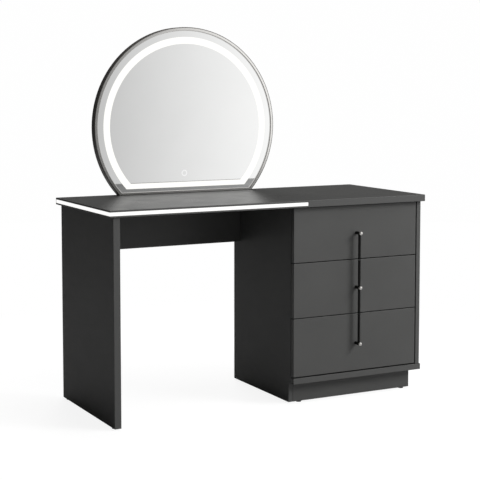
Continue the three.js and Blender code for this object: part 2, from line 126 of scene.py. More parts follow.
def add(tree, kind, sockets=None, **settings):
    """Add a node, set its properties, and set or link its input sockets."""
    node = tree.nodes.new(kind)
    for key, value in settings.items():
        setattr(node, key, value)
    for key, value in (sockets or {}).items():
        feed(tree, node.inputs[key], value)
    return node


def feed(tree, socket, value):
    """Link another node's output into a socket, or set its plain value."""
    if isinstance(value, bpy.types.NodeSocket):
        tree.links.new(value, socket)
    else:
        socket.default_value = value


def noise(tree, scale, stretch=(1, 1, 1), detail=2.0, roughness=0.5):
    """Noise in object space, squeezed along each axis by stretch; about 0.3 to 0.7."""
    place = add(tree, "ShaderNodeTexCoord").outputs["Object"]
    mapped = add(tree, "ShaderNodeMapping", {"Vector": place, "Scale": stretch})
    sockets = {"Vector": mapped.outputs[0], "Scale": scale, "Detail": detail, "Roughness": roughness}
    return add(tree, "ShaderNodeTexNoise", sockets).outputs["Fac"]


def ranged(tree, value, low, high, start=0.3, end=0.7, easing="LINEAR"):
    """Stretch a value from start..end to low..high."""
    names = ("Value", "From Min", "From Max", "To Min", "To Max")
    sockets = dict(zip(names, (value, start, end, low, high)))
    return add(tree, "ShaderNodeMapRange", sockets, interpolation_type=easing).outputs[0]


def tinted(tree, value, dark, light):
    """A colour between two colours, by a value from 0.3 to 0.7."""
    factor = ranged(tree, value, 0, 1)
    # A Mix node has an A, a B and a result for each type of data, so the colour's are found by number.
    first, second, result = 6, 7, 2
    sockets = {"Factor": factor, first: (*dark, 1), second: (*light, 1)}
    return add(tree, "ShaderNodeMix", sockets, data_type="RGBA").outputs[result]


def maths(tree, operation, first, second=0.0):
    """One sum or function of one or two values."""
    node = add(tree, "ShaderNodeMath", operation=operation)
    feed(tree, node.inputs[0], first)
    feed(tree, node.inputs[1], second)
    return node.outputs[0]


def bumped(tree, shader, height, depth):
    """Raise the surface by a height of 0 to 1 times depth in metres."""
    bump = add(tree, "ShaderNodeBump", {"Height": height, "Distance": depth, "Strength": 1.0})
    tree.links.new(bump.outputs[0], shader.inputs["Normal"])


print("helpers ready")

# %% [markdown]
# ## Board finishes
# The boards are fibreboard under a charcoal laminate with a very fine grain, and their edges are closed
# with a plastic band in the same colour. A flat colour would look like card, so the laminate gets
# three layers: a millimetre grain that roughens it, a slow drift of tone, and faint rubbed patches.

# %% Laminate, satin top and edge band
def laminate(name, dark, light, gloss, grain_depth):
    material, tree, shader = new_finish(name)
    grain = noise(tree, 1400, detail=3)
    drift = noise(tree, 5, detail=3)
    rubbed = noise(tree, 14, stretch=(1, 1, 2.5), detail=4, roughness=0.6)
    tone = maths(tree, "ADD", maths(tree, "MULTIPLY", grain, 0.55), maths(tree, "MULTIPLY", drift, 0.45))
    tree.links.new(tinted(tree, tone, dark, light), shader.inputs["Base Color"])
    rough = maths(tree, "ADD", ranged(tree, grain, -0.03, 0.03), ranged(tree, rubbed, *gloss))
    tree.links.new(rough, shader.inputs["Roughness"])
    bumped(tree, shader, grain, grain_depth)
    return material


def edge_band(name, dark, light):
    """Plastic edging: fine scraper lines along the board, a touch glossier than the laminate."""
    material, tree, shader = new_finish(name)
    lines = noise(tree, 60, stretch=(1, 1, 30), detail=3)
    fleck = noise(tree, 900, detail=2)
    tree.links.new(tinted(tree, fleck, dark, light), shader.inputs["Base Color"])
    tree.links.new(ranged(tree, lines, 0.36, 0.46), shader.inputs["Roughness"])
    bumped(tree, shader, lines, 0.00002)
    return material


CHARCOAL_DARK, CHARCOAL_LIGHT = (0.070, 0.0705, 0.069), (0.088, 0.0885, 0.0865)
charcoal = laminate("charcoal_laminate", CHARCOAL_DARK, CHARCOAL_LIGHT, (0.455, 0.495), 0.00004)
satin_top = laminate(
    "satin_top_laminate", (0.052, 0.052, 0.0508), (0.064, 0.064, 0.0625), (0.28, 0.34), 0.000006)
tune(satin_top, "Specular IOR Level", 0.16)
charcoal_band = edge_band("charcoal_edge_band", (0.078, 0.0785, 0.077), (0.092, 0.0925, 0.091))
print("board finishes:", charcoal.name, satin_top.name, charcoal_band.name)

# %% [markdown]
# ## Inside the drawers
# The drawer boxes are melamine with a printed linen pattern. Two noises, one squeezed along each
# direction of the weave, cross to make its threads.

# %% Linen melamine and back panel
def linen(name, dark, light):
    material, tree, shader = new_finish(name)
    warp = noise(tree, 260, stretch=(6, 0.5, 0.5), detail=2)
    weft = noise(tree, 260, stretch=(0.5, 6, 6), detail=2)
    weave = maths(tree, "MULTIPLY", maths(tree, "ADD", warp, weft), 0.5)
    tree.links.new(tinted(tree, weave, dark, light), shader.inputs["Base Color"])
    tree.links.new(ranged(tree, weave, 0.48, 0.62), shader.inputs["Roughness"])
    bumped(tree, shader, weave, 0.00003)
    return material


def hardboard(name, dark, light):
    """Thin board with a papered face: long soft fibres and a dull sheen."""
    material, tree, shader = new_finish(name)
    fibre = noise(tree, 180, stretch=(1, 1, 4), detail=5, roughness=0.65)
    tree.links.new(tinted(tree, fibre, dark, light), shader.inputs["Base Color"])
    tree.links.new(ranged(tree, fibre, 0.6, 0.75), shader.inputs["Roughness"])
    bumped(tree, shader, fibre, 0.00006)
    return material


drawer_linen = linen("grey_linen_melamine", (0.20, 0.197, 0.19), (0.30, 0.295, 0.285))
back_paper = hardboard("charcoal_hardboard", (0.050, 0.050, 0.049), (0.075, 0.075, 0.073))
print("drawer finishes:", drawer_linen.name, back_paper.name)

# %% [markdown]
# ## Metals
# The mirror's frame is brushed round its face; its outer wall gets a dark copy of the same metal, which is
# painted shade. The handle caps are turned, so their lines are rings, and the rails are rolled and
# zinc-plated. Lines follow the way a metal was worked, so a round finish first works out a radius and an
# angle, and puts the noise there.
# The handle bars are powder-coated.

# %% Metals
def circling(tree, centre, first, second):
    """Radius about a point, and the angle round it, in the plane of two axes (0, 1 or 2)."""
    place = add(tree, "ShaderNodeTexCoord").outputs["Object"]
    split = add(tree, "ShaderNodeSeparateXYZ", {"Vector": place}).outputs
    across = maths(tree, "SUBTRACT", split[first], centre[first])
    upward = maths(tree, "SUBTRACT", split[second], centre[second])
    squares = maths(tree, "ADD", maths(tree, "POWER", across, 2), maths(tree, "POWER", upward, 2))
    return maths(tree, "SQRT", squares), maths(tree, "ARCTAN2", upward, across)


def brushed_round(name, colour, centre, ring_scale, turn_scale, gloss, depth):
    """Metal with brush lines that run round a centre in the XZ plane."""
    material, tree, shader = new_finish(name)
    radius, turn = circling(tree, centre, 0, 2)
    place = add(tree, "ShaderNodeCombineXYZ", {
        "X": maths(tree, "MULTIPLY", radius, ring_scale),
        "Y": maths(tree, "MULTIPLY", turn, turn_scale)})
    sockets = {"Vector": place.outputs[0], "Scale": 1.0, "Detail": 3.0}
    lines = add(tree, "ShaderNodeTexNoise", sockets).outputs["Fac"]
    dark = tuple(channel * 0.9 for channel in colour)
    tree.links.new(tinted(tree, lines, dark, colour), shader.inputs["Base Color"])
    tree.links.new(ranged(tree, lines, *gloss), shader.inputs["Roughness"])
    shader.inputs["Metallic"].default_value = 1.0
    bumped(tree, shader, lines, depth)
    return material


def zinc(name, colour, stretch):
    """Rolled, plated steel: long drawing lines and cloudy passivation."""
    material, tree, shader = new_finish(name)
    drawn = noise(tree, 500, stretch=stretch, detail=2)
    cloud = noise(tree, 60, detail=4)
    dull = tuple(channel * 0.75 for channel in colour)
    tree.links.new(tinted(tree, cloud, dull, colour), shader.inputs["Base Color"])
    tree.links.new(ranged(tree, drawn, 0.28, 0.42), shader.inputs["Roughness"])
    shader.inputs["Metallic"].default_value = 1.0
    bumped(tree, shader, drawn, 0.00001)
    return material


def powder_coat(name, dark, light):
    """Black powder coat: a soft orange peel that breaks up the highlight."""
    material, tree, shader = new_finish(name)
    peel = noise(tree, 1100, detail=1)
    tree.links.new(tinted(tree, peel, dark, light), shader.inputs["Base Color"])
    tree.links.new(ranged(tree, peel, 0.42, 0.55), shader.inputs["Roughness"])
    shader.inputs["Specular IOR Level"].default_value = 0.3
    bumped(tree, shader, peel, 0.00003)
    return material


frame_low, frame_high = corners("mirror_frame")
MIRROR_RADIUS = (frame_high.x - frame_low.x) / 2
mirror_centre = Vector(((frame_low.x + frame_high.x) / 2, frame_high.y, frame_high.z - MIRROR_RADIUS))
gunmetal = brushed_round(
    "brushed_gunmetal", (0.84, 0.83, 0.81), mirror_centre, 1800, 4, (0.20, 0.26), 0.0000002)
# The frame's outer wall is the same aluminium, made dark here as painted shade.
wall_painted_shade = zinc("aluminium_wall_painted_shade", (0.115, 0.107, 0.099), (1, 3, 1))
tune(wall_painted_shade, "Metallic", 0.35)
zinc_rail = zinc("zinc_plated_steel", (0.62, 0.63, 0.62), (4, 0.08, 4))
black_coat = powder_coat("black_powder_coat", (0.003, 0.003, 0.003), (0.006, 0.006, 0.006))
print("the mirror's circle has a radius of", round(MIRROR_RADIUS, 4), "m")

# %% [markdown]
# ## Plastics, glass and light
# Moulded plastic has a spark-eroded grain. The mirror is silver behind clear glass, so it is a metal
# with almost no roughness. The lights are milky: the frosting is what glows, so its speckle
# is in the strength of the light as well as in its surface.

# %% Plastics, glass and light
def moulded(name, dark, light, gloss):
    material, tree, shader = new_finish(name)
    grain = noise(tree, 1600, detail=2)
    tree.links.new(tinted(tree, grain, dark, light), shader.inputs["Base Color"])
    tree.links.new(ranged(tree, grain, *gloss), shader.inputs["Roughness"])
    bumped(tree, shader, grain, 0.00004)
    return material


def silvered_glass(name):
    material, tree, shader = new_finish(name)
    haze = noise(tree, 9, detail=3)
    silver = tinted(tree, haze, (0.955, 0.96, 0.96), (0.97, 0.975, 0.975))
    tree.links.new(silver, shader.inputs["Base Color"])
    tree.links.new(ranged(tree, haze, 0.012, 0.03), shader.inputs["Roughness"])
    shader.inputs["Metallic"].default_value = 1.0
    return material


UNLIT = 0.12  # how bright a lit surface's own body is, against its glow


def glowing(name, colour, strength, speckle_scale):
    """A milky surface that glows; its speckle is in its light and in its sheen."""
    material, tree, shader = new_finish(name)
    speckle = noise(tree, speckle_scale, detail=2)
    body = tuple(channel * UNLIT for channel in colour)
    shader.inputs["Base Color"].default_value = (*body, 1)
    shader.inputs["Emission Color"].default_value = (*colour, 1)
    glow = ranged(tree, speckle, 0.96 * strength, 1.04 * strength)
    tree.links.new(glow, shader.inputs["Emission Strength"])
    tree.links.new(ranged(tree, speckle, 0.45, 0.6), shader.inputs["Roughness"])
    return material


black_plastic = moulded("black_moulded_plastic", (0.010, 0.010, 0.010), (0.018, 0.018, 0.018), (0.45, 0.6))
white_plastic = moulded("white_moulded_plastic", (0.72, 0.72, 0.70), (0.80, 0.80, 0.78), (0.4, 0.5))
silvered = silvered_glass("silvered_glass")
strip_glow = glowing("silicone_light_strip", (1.0, 0.995, 0.985), 1.0, 700)
band_glow = glowing("frosted_glass_light", (1.0, 0.992, 0.958), 0.95, 1500)
icon_glow = glowing("frosted_icon_light", (1.0, 1.0, 1.0), 0.8, 1500)
# The seal is no lamp: its glow is a painted highlight along the glass's edge.
seal_painted_highlight = glowing("clear_silicone_seal_painted_highlight", (0.8, 0.79, 0.77), 0.62, 900)
print("lights:", strip_glow.name, band_glow.name)

# %% [markdown]
# ## Modelling helpers
# An operator works on whatever is selected, so every step starts from nothing selected. Faces and
# edges are then chosen by where they are or which way they face, as one would by hand.

# %% Modelling helpers
CLOSE = 1e-6  # metres: nearer than this, two places are the same


def only(obj):
    """Make this the one selected and active object."""
    bpy.ops.object.select_all(action="DESELECT")
    obj.select_set(True)
    bpy.context.view_layer.objects.active = obj


def start_edit(obj, kind="FACE"):
    only(obj)
    bpy.ops.object.mode_set(mode="EDIT")
    bpy.ops.mesh.select_mode(type=kind)
    bpy.ops.mesh.select_all(action="DESELECT")


def end_edit():
    bpy.ops.object.mode_set(mode="OBJECT")


def choose(obj, kind, test):
    """In edit mode, select the faces, edges or verts that pass a test, and nothing else."""
    bpy.ops.mesh.select_all(action="DESELECT")
    grid = bmesh.from_edit_mesh(obj.data)
    found = [item for item in getattr(grid, kind) if test(item)]
    for item in found:
        item.select_set(True)
    grid.select_flush_mode()
    bmesh.update_edit_mesh(obj.data)
    return len(found)


def middle(item):
    """The middle of a face or an edge."""
    return sum((v.co for v in item.verts), Vector()) / len(item.verts)


def facing(direction):
    """A test for faces that point along a direction."""
    return lambda face: face.normal.dot(direction) > 0.999


def slide(offset):
    """In edit mode, pull the selection out by an offset, with new sides behind it."""
    bpy.ops.mesh.extrude_region_move(TRANSFORM_OT_translate={"value": tuple(offset)})


def merge_flats():
    """In edit mode, join faces that lie in one plane, so that a cut leaves no line behind."""
    bpy.ops.mesh.select_all(action="SELECT")
    bpy.ops.mesh.dissolve_limited(angle_limit=math.radians(1))


def settle():
    """Keep the active object's place in its mesh."""
    bpy.ops.object.transform_apply(location=True, rotation=True, scale=True)


def block(name, low, high):
    """A box between two corners, ready to be shaped."""
    bpy.ops.object.select_all(action="DESELECT")
    bpy.ops.mesh.primitive_cube_add(size=1, location=(low + high) / 2, scale=high - low)
    made = bpy.context.object
    made.name = name
    settle()
    return made


def cut_across(obj, place, normal):
    """Cut the whole piece by a plane, keeping both sides."""
    start_edit(obj)
    bpy.ops.mesh.select_all(action="SELECT")
    bpy.ops.mesh.bisect(plane_co=tuple(place), plane_no=tuple(normal))
    end_edit()


def soften(obj, width, segments=3, angle=math.radians(35)):
    """Round every sharp edge, keep the flats flat, and shade the rounds smoothly."""
    only(obj)
    bpy.ops.object.shade_smooth()
    rounding = obj.modifiers.new("rounding", "BEVEL")
    rounding.width = width
    rounding.segments = segments
    rounding.limit_method = "ANGLE"
    rounding.angle_limit = angle
    rounding.harden_normals = True
    bpy.ops.object.modifier_apply(modifier=rounding.name)


def painted(obj, first, second=None, test=None):
    """Give a piece its material, and a second one to the faces that pass a test."""
    obj.data.materials.clear()
    obj.data.materials.append(first)
    if second is None:
        return
    obj.data.materials.append(second)
    for face in obj.data.polygons:
        face.material_index = 1 if test(face) else 0


def finished(obj, body, slot, *nodes):
    """Tie a finished piece to its body and hide the parts that it stands for; slot is not used."""
    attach(obj, body)
    if nodes:
        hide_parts(*nodes)


def outward(obj):
    """Merge doubles and turn every face of a closed shape outwards."""
    start_edit(obj, "VERT")
    bpy.ops.mesh.select_all(action="SELECT")
    bpy.ops.mesh.remove_doubles(threshold=CLOSE)
    bpy.ops.mesh.normals_make_consistent(inside=False)
    end_edit()


print("modelling helpers ready")

# %% [markdown]
# ## Banded boards
# A board is a sheet of laminate with a strip of band glued round its edge. The band is two millimetres
# thick, so from the face it shows as a thin line just inside the rounded corner. An inset on both
# faces draws that line, and the edge is then rounded.

# %% Board maker
BAND_THICKNESS = 2.2 * MM
ROUNDING = 1.4 * MM
THIN_ROUNDING = 0.4 * MM  # for the thin panels


def thin_axis(low, high):
    """The axis (0, 1 or 2) that runs through a board's thickness."""
    sides = high - low
    return min(range(3), key=lambda axis: sides[axis])


def band_faces(obj, axis, low, high):
    """Everything but the two inset faces of laminate is band."""
    def is_band(face):
        if abs(face.normal[axis]) < 0.999:
            return True
        others = [a for a in range(3) if a != axis]
        reach = [min(face.center[a] - low[a], high[a] - face.center[a]) for a in others]
        return min(reach) < BAND_THICKNESS
    return is_band


def draw_band_line(obj, axis, least_area=0.0):
    """Inset a board's two broad faces by the band's thickness."""
    start_edit(obj)
    choose(obj, "faces", lambda face: abs(face.normal[axis]) > 0.999 and face.calc_area() > least_area)
    bpy.ops.mesh.inset(thickness=BAND_THICKNESS, use_even_offset=True)
    end_edit()


def banded_board(name, node, face_finish, band_finish, rounding=ROUNDING):
    """A plain board in the place of a part of the frame."""
    low, high = corners(node)
    axis = thin_axis(low, high)
    board = block(name, low, high)
    draw_band_line(board, axis)
    soften(board, rounding)
    painted(board, face_finish, band_finish, band_faces(board, axis, low, high))
    return board


print("a board's band shows", round(BAND_THICKNESS / MM, 1), "mm wide on its face")

# %% The leg, the apron, the cabinet and the plinth
CASE_BOARDS = (
    "left_leg_panel", "rear_apron", "cabinet_outer_side",
    "plinth_front", "plinth_back", "plinth_outer_side",
)
for node in CASE_BOARDS:
    board = banded_board(node + "_board", node, charcoal, charcoal_band)
    finished(board, "table", "charcoal_board", node)
back_panel = banded_board("cabinet_back_panel", "cabinet_back", back_paper, back_paper, THIN_ROUNDING)
finished(back_panel, "table", "back_panel", "cabinet_back")
print(len(CASE_BOARDS), "case boards and a back panel")

# %% [markdown]
# ## The lit top
# A router cuts a groove along the top's left edge and round the corner onto its front edge, and a
# silicone strip is pressed into it. Here the board is cut across at the groove's edges, and the faces
# between the cuts are pushed straight in, which keeps the corner a clean mitre.

# %% Tabletop
strip_low, strip_high = corners("edge_light_strip")
STRIP_DEPTH = 6 * MM
CLEARANCE = 0.3 * MM  # between pieces that fit into each other
BROAD_AREA = 0.15  # square metres: of a cut board's faces, only the two broad ones are larger
top = block("tabletop_board", top_low, top_high)
groove_low = strip_low.z - CLEARANCE
groove_high = strip_high.z + CLEARANCE
groove_end = strip_high.x + CLEARANCE
groove_back = strip_high.y + CLEARANCE
cut_across(top, (0, 0, groove_low), Z)
cut_across(top, (0, 0, groove_high), Z)
cut_across(top, (groove_end, 0, 0), X)
cut_across(top, (0, groove_back, 0), Y)


def in_groove(face):
    """The parts of the left and front edges that lie between the cuts."""
    at = middle(face)
    level = groove_low < at.z < groove_high
    left = face.normal.x < -0.9 and at.y < groove_back
    front = face.normal.y < -0.9 and at.x < groove_end
    return level and (left or front)


start_edit(top)
choose(top, "faces", in_groove)
bpy.ops.mesh.extrude_region_shrink_fatten(
    TRANSFORM_OT_shrink_fatten={"value": -STRIP_DEPTH - CLEARANCE, "use_even_offset": True})
merge_flats()
end_edit()
draw_band_line(top, 2, BROAD_AREA)
soften(top, ROUNDING)
painted(top, satin_top, charcoal_band, lambda face: abs(face.normal.z) < 0.999 or face.area < BROAD_AREA)
finished(top, "table", "charcoal_board", "tabletop")
print("tabletop:", len(top.data.polygons), "faces")

# %% [markdown]
# The strip is one length of milky silicone bent round the corner. It starts as the run along the left
# edge, its front end is cut off square, and the face at the corner is pulled out along the front edge.

# %% Light strip
run_high = Vector((strip_low.x + STRIP_DEPTH, strip_high.y, strip_high.z))
strip = block("edge_light_strip_silicone", strip_low, run_high)
cut_across(strip, (0, strip_low.y + STRIP_DEPTH, 0), Y)
start_edit(strip)
choose(strip, "faces", lambda face: face.normal.x > 0.9 and middle(face).y < strip_low.y + STRIP_DEPTH)
slide(X * (strip_high.x - run_high.x))
merge_flats()
end_edit()
soften(strip, 0.8 * MM)
painted(strip, strip_glow)
finished(strip, "table", "light_strip", "edge_light_strip")
print("the strip runs", round(strip_high.x - strip_low.x, 3), "m along the front edge")

# %% [markdown]
# The cabinet's inner side runs down to the floor, so the bottom board stops against it, and only its
# front nose reaches out over the side's edge. Under the nose, the side's edge steps back to the plinth.
# Both are plain boards that are cut once, and then one part of an edge is pulled out.

# %% Stepped boards
def stepped_board(name, low, high, cut_place, cut_normal, test, offset):
    """A board whose edge steps at a cut: the edge faces that pass the test are pulled out."""
    board = block(name, low, high)
    axis = thin_axis(low, high)
    cut_across(board, cut_place, cut_normal)
    start_edit(board)
    choose(board, "faces", test)
    slide(offset)
    merge_flats()
    end_edit()
    draw_band_line(board, axis, BROAD_AREA)
    soften(board, ROUNDING)
    painted(
        board, charcoal, charcoal_band,
        lambda face: abs(face.normal[axis]) < 0.999 or face.area < BROAD_AREA,
    )
    return board


bottom_low, bottom_high = corners("cabinet_bottom")
side_low, side_high = corners("cabinet_inner_side")
plinth_low = corners("plinth_front")[0]
nose = side_low.y - CLEARANCE
bottom = stepped_board(
    "cabinet_bottom_board", Vector((plinth_low.x, bottom_low.y, bottom_low.z)), bottom_high,
    (0, nose, 0), Y,
    lambda face: face.normal.x < -0.9 and middle(face).y < nose, X * (bottom_low.x - plinth_low.x),
)
finished(bottom, "table", "charcoal_board", "cabinet_bottom")
inner_side = stepped_board(
    "cabinet_inner_side_board", Vector((side_low.x, plinth_low.y, side_low.z)), side_high,
    (0, 0, bottom_low.z), Z,
    lambda face: face.normal.y < -0.9 and middle(face).z > bottom_low.z, Y * (side_low.y - plinth_low.y),
)
finished(inner_side, "table", "charcoal_board", "cabinet_inner_side")
print("the bottom board's nose reaches", round((plinth_low.x - bottom_low.x) / MM, 1), "mm out")

# %% [markdown]
# ## Drawers
# Each drawer is a banded front on a box folded from one board: left side, back and right side. The
# box starts as its left side; its back end is pulled across and then forwards, as the real one is folded.

# %% Drawer fronts, boxes and bottoms
DRAWERS = ("top", "middle", "bottom")
BOX_WALL = 12 * MM


def folded_box(name, node):
    """The two sides and the back of a drawer, in one piece."""
    low, high = corners(node)
    wall_high = Vector((low.x + BOX_WALL, high.y, high.z))
    back = high.y - BOX_WALL
    box = block(name, low, wall_high)
    cut_across(box, (0, back, 0), Y)
    start_edit(box)
    choose(box, "faces", lambda face: face.normal.x > 0.9 and middle(face).y > back)
    slide(X * (high.x - low.x - 2 * BOX_WALL))
    slide(X * BOX_WALL)
    choose(box, "faces", lambda face: face.normal.y < -0.9 and middle(face).x > high.x - BOX_WALL)
    slide(Y * (low.y - back))
    merge_flats()
    end_edit()
    soften(box, 0.8 * MM, 2)
    painted(box, drawer_linen)
    return box


for drawer in DRAWERS:
    body = "drawer_" + drawer
    node = f"drawer_front_{drawer}"
    finished(banded_board(node + "_board", node, charcoal, charcoal_band), body, "charcoal_board", node)
    node = f"drawer_box_{drawer}"
    finished(folded_box(node + "_folded", node), body, "interior_board", node)
    node = f"drawer_bottom_{drawer}"
    floor_board = banded_board(node + "_panel", node, drawer_linen, drawer_linen, THIN_ROUNDING)
    finished(floor_board, body, "interior_board", node)
print(len(DRAWERS), "drawers, each a front, a folded box and a bottom")

# %% [markdown]
# ## Handles
# Three bars stand in line and read as one. Each is a rod joined to a post that comes out of its front,
# and the post ends in a turned cap. The rod and the post are welded, so they are one mesh here too.

# %% Bars and posts
BAR_RADIUS = 5 * MM
POST_RADIUS = 5.8 * MM


def rod(name, start, end, radius, sides=48):
    """A cylinder between two points on a line along Y or Z."""
    start, end = Vector(start), Vector(end)
    along = end - start
    turn = (math.pi / 2, 0, 0) if abs(along.y) > abs(along.z) else (0, 0, 0)
    bpy.ops.object.select_all(action="DESELECT")
    bpy.ops.mesh.primitive_cylinder_add(
        vertices=sides, radius=radius, depth=along.length, location=(start + end) / 2, rotation=turn)
    made = bpy.context.object
    made.name = name
    settle()
    return made


def welded(first, second):
    """Join the second solid into the first."""
    only(first)
    weld = first.modifiers.new("weld", "BOOLEAN")
    weld.operation = "UNION"
    weld.object = second
    bpy.ops.object.modifier_apply(modifier=weld.name)
    bpy.data.objects.remove(second, do_unlink=True)
    return first


def bar_handle(drawer):
    """One drawer's bar; where its post is at an end, the bar stops in the post's middle."""
    low, high = corners(f"handle_{drawer}")
    cap_low, cap_high = corners(f"handle_cap_{drawer}")
    x = (cap_low.x + cap_high.x) / 2
    post_z = (cap_low.z + cap_high.z) / 2
    bar_y = low.y + BAR_RADIUS
    ends = [low.z, high.z]
    if post_z - low.z < 2 * POST_RADIUS:
        ends[0] = post_z
    if high.z - post_z < 2 * POST_RADIUS:
        ends[1] = post_z
    bar = rod(f"handle_{drawer}_bar", (x, bar_y, ends[0]), (x, bar_y, ends[1]), BAR_RADIUS)
    soften(bar, 0.3 * MM, 2)
    post = rod("post", (x, low.y, post_z), (x, high.y, post_z), POST_RADIUS)
    soften(post, 0.5 * MM, 2)
    handle = welded(bar, post)
    only(handle)
    bpy.ops.object.shade_smooth_by_angle(angle=math.radians(35))
    painted(handle, black_coat)
    return handle


for drawer in DRAWERS:
    finished(bar_handle(drawer), "drawer_" + drawer, "handle_black", f"handle_{drawer}")
print(len(DRAWERS), "bar handles")

# %% [markdown]
# A cap is turned on a lathe: a cylinder, a bright chamfer, a shallow groove near its foot, and a face
# that swells slightly so that it always catches a light.

# %% Caps
CAP_STEPS = ((0.7, 0.9), (0.45, 0.75), (0.25, 0.6), (0.1, 0.4))  # mm out, share of the width kept
CAP_CROWN = sum(step for step, shrink in CAP_STEPS) * MM
CAP_GROOVE_PLACE = 2.2 * MM  # from the cap's foot
CAP_GROOVE_WIDTH = 0.8 * MM
CAP_GROOVE_DEPTH = 0.5 * MM


def turned_cap(drawer):
    """One drawer's cap, on the end of its post."""
    low, high = corners(f"handle_cap_{drawer}")
    centre = (low + high) / 2
    radius = (high.x - low.x) / 2
    shoulder = (centre.x, low.y + CAP_CROWN, centre.z)
    cap = rod(f"handle_cap_{drawer}_turned", shoulder, (centre.x, high.y, centre.z), radius)
    start_edit(cap)
    choose(cap, "faces", facing(-Y))
    for step, shrink in CAP_STEPS:
        slide(Y * -step * MM)
        bpy.ops.transform.resize(value=(shrink, 1, shrink))
    end_edit()
    groove_front = high.y - CAP_GROOVE_PLACE
    groove_rear = groove_front + CAP_GROOVE_WIDTH
    cut_across(cap, (0, groove_front, 0), Y)
    cut_across(cap, (0, groove_rear, 0), Y)
    start_edit(cap)
    choose(cap, "faces", lambda face: (
        abs(face.normal.y) < 0.5 and groove_front < middle(face).y < groove_rear))
    bpy.ops.mesh.extrude_region_shrink_fatten(
        TRANSFORM_OT_shrink_fatten={"value": -CAP_GROOVE_DEPTH, "use_even_offset": True})
    end_edit()
    only(cap)
    bpy.ops.object.shade_smooth_by_angle(angle=math.radians(30))
    nickel = brushed_round(
        f"turned_nickel_{drawer}", (0.90, 0.88, 0.85), centre, 9000, 0.6, (0.16, 0.30), 0.00001)
    painted(cap, nickel)
    return cap


for drawer in DRAWERS:
    finished(turned_cap(drawer), "drawer_" + drawer, "cap_metal", f"handle_cap_{drawer}")
print(len(DRAWERS), "turned caps")

# %% [markdown]
# ## The mirror's frame
# The frame is an aluminium angle bent into a circle and cut off where it stands on the top. Its section
# is drawn once and spun round the mirror's centre. Its face slopes back a little towards the rim, so
# it is dark on one side of the circle and bright on the other, as a dished ring is. The two open ends
# of the spin are then bridged, and that straight bridge is the foot.

# %% Frame section
FRAME_FACE = 12 * MM
FRAME_LIP = 5 * MM
FRAME_WALL = 3 * MM
FRAME_SLOPE = 2 * MM
RIM_CORNER = 2.2 * MM
LIP_CORNER = 0.8 * MM
chord = frame_low.z - mirror_centre.z
foot_angle = math.asin(chord / MIRROR_RADIUS)
sweep = math.pi - 2 * foot_angle


def frame_section():
    """The angle's section at the right-hand end of the arc, as one face."""
    depth = frame_high.y - frame_low.y
    bpy.ops.object.select_all(action="DESELECT")
    bpy.ops.mesh.primitive_plane_add(size=1, location=(MIRROR_RADIUS - FRAME_WALL / 2, -depth / 2, 0))
    section = bpy.context.object
    section.name = "mirror_frame_rim"
    section.scale = (FRAME_WALL, depth, 1)
    settle()
    cut_across(section, (0, -depth + FRAME_LIP, 0), Y)
    inner = MIRROR_RADIUS - FRAME_WALL
    start_edit(section, "EDGE")
    choose(section, "edges", lambda edge: all(
        abs(v.co.x - inner) < CLOSE and v.co.y < -depth + FRAME_LIP + CLOSE for v in edge.verts))
    slide(X * -(FRAME_FACE - FRAME_WALL))
    bpy.ops.mesh.select_mode(type="FACE")
    bpy.ops.mesh.select_all(action="SELECT")
    bpy.ops.mesh.dissolve_faces()
    bpy.ops.mesh.select_mode(type="VERT")
    choose(section, "verts", lambda v: abs(v.co.x - inner) < CLOSE and v.co.y < -depth + CLOSE)
    bpy.ops.transform.translate(value=(0, FRAME_SLOPE, 0))
    choose(section, "verts", lambda v: v.co.x > MIRROR_RADIUS - CLOSE and v.co.y < -depth + CLOSE)
    bpy.ops.transform.translate(value=(0, FRAME_SLOPE, 0))
    bpy.ops.mesh.bevel(offset=RIM_CORNER, segments=5, affect="VERTICES")
    choose(section, "verts", lambda v: v.co.x < MIRROR_RADIUS - FRAME_FACE + CLOSE)
    bpy.ops.mesh.bevel(offset=LIP_CORNER, segments=3, affect="VERTICES")
    end_edit()
    return section


rim = frame_section()
rim.rotation_euler = (0, -foot_angle, 0)
rim.location = mirror_centre
settle()
print("section:", len(rim.data.vertices), "points; sweep", round(math.degrees(sweep), 1), "degrees")

# %% Spin and bridge
SPIN_STEPS = 144
FOOT_AREA = 100 * MM * MM  # the long faces of the foot are larger, the short ones of the arc smaller
start_edit(rim)
bpy.ops.mesh.select_all(action="SELECT")
bpy.ops.mesh.spin(steps=SPIN_STEPS, angle=sweep, center=tuple(mirror_centre), axis=(0, 1, 0))
end_edit()
ends = []
for turn in (foot_angle, math.pi - foot_angle):
    ends.append(Vector((math.cos(turn), 0, math.sin(turn))).cross(Y))


def on_end(point):
    """Whether a place is in the plane of one of the arc's two ends."""
    at_end = any(abs((point - mirror_centre).dot(normal)) < 10 * CLOSE for normal in ends)
    return at_end and point.z < mirror_centre.z


def is_end_face(face):
    return abs(face.normal.y) < 0.1 and all(on_end(v.co) for v in face.verts)


def on_face(face):
    """The bright brushed face, inside the outer wall, whose dark metal is painted shade."""
    from_middle = face.center - mirror_centre
    from_middle.y = 0
    on_foot = from_middle.z < chord + FRAME_FACE and face.area > FOOT_AREA
    inside = on_foot or from_middle.length < MIRROR_RADIUS - FRAME_WALL
    return inside and face.normal.y < -0.9


start_edit(rim)
end_faces = choose(rim, "faces", is_end_face)
bpy.ops.mesh.delete(type="ONLY_FACE")
bpy.ops.mesh.select_mode(type="EDGE")
loose_edges = choose(rim, "edges", lambda edge: edge.is_boundary)
bpy.ops.mesh.bridge_edge_loops()
end_edit()
outward(rim)
only(rim)
bpy.ops.object.shade_smooth_by_angle(angle=math.radians(25))
# The outer wall's dark metal is painted shade; the face is the brushed metal.
painted(rim, wall_painted_shade, gunmetal, on_face)
finished(rim, "table", "frame_metal", "mirror_frame")
print("frame:", end_faces, "end faces,", loose_edges, "edges bridged,", len(rim.data.polygons), "faces")

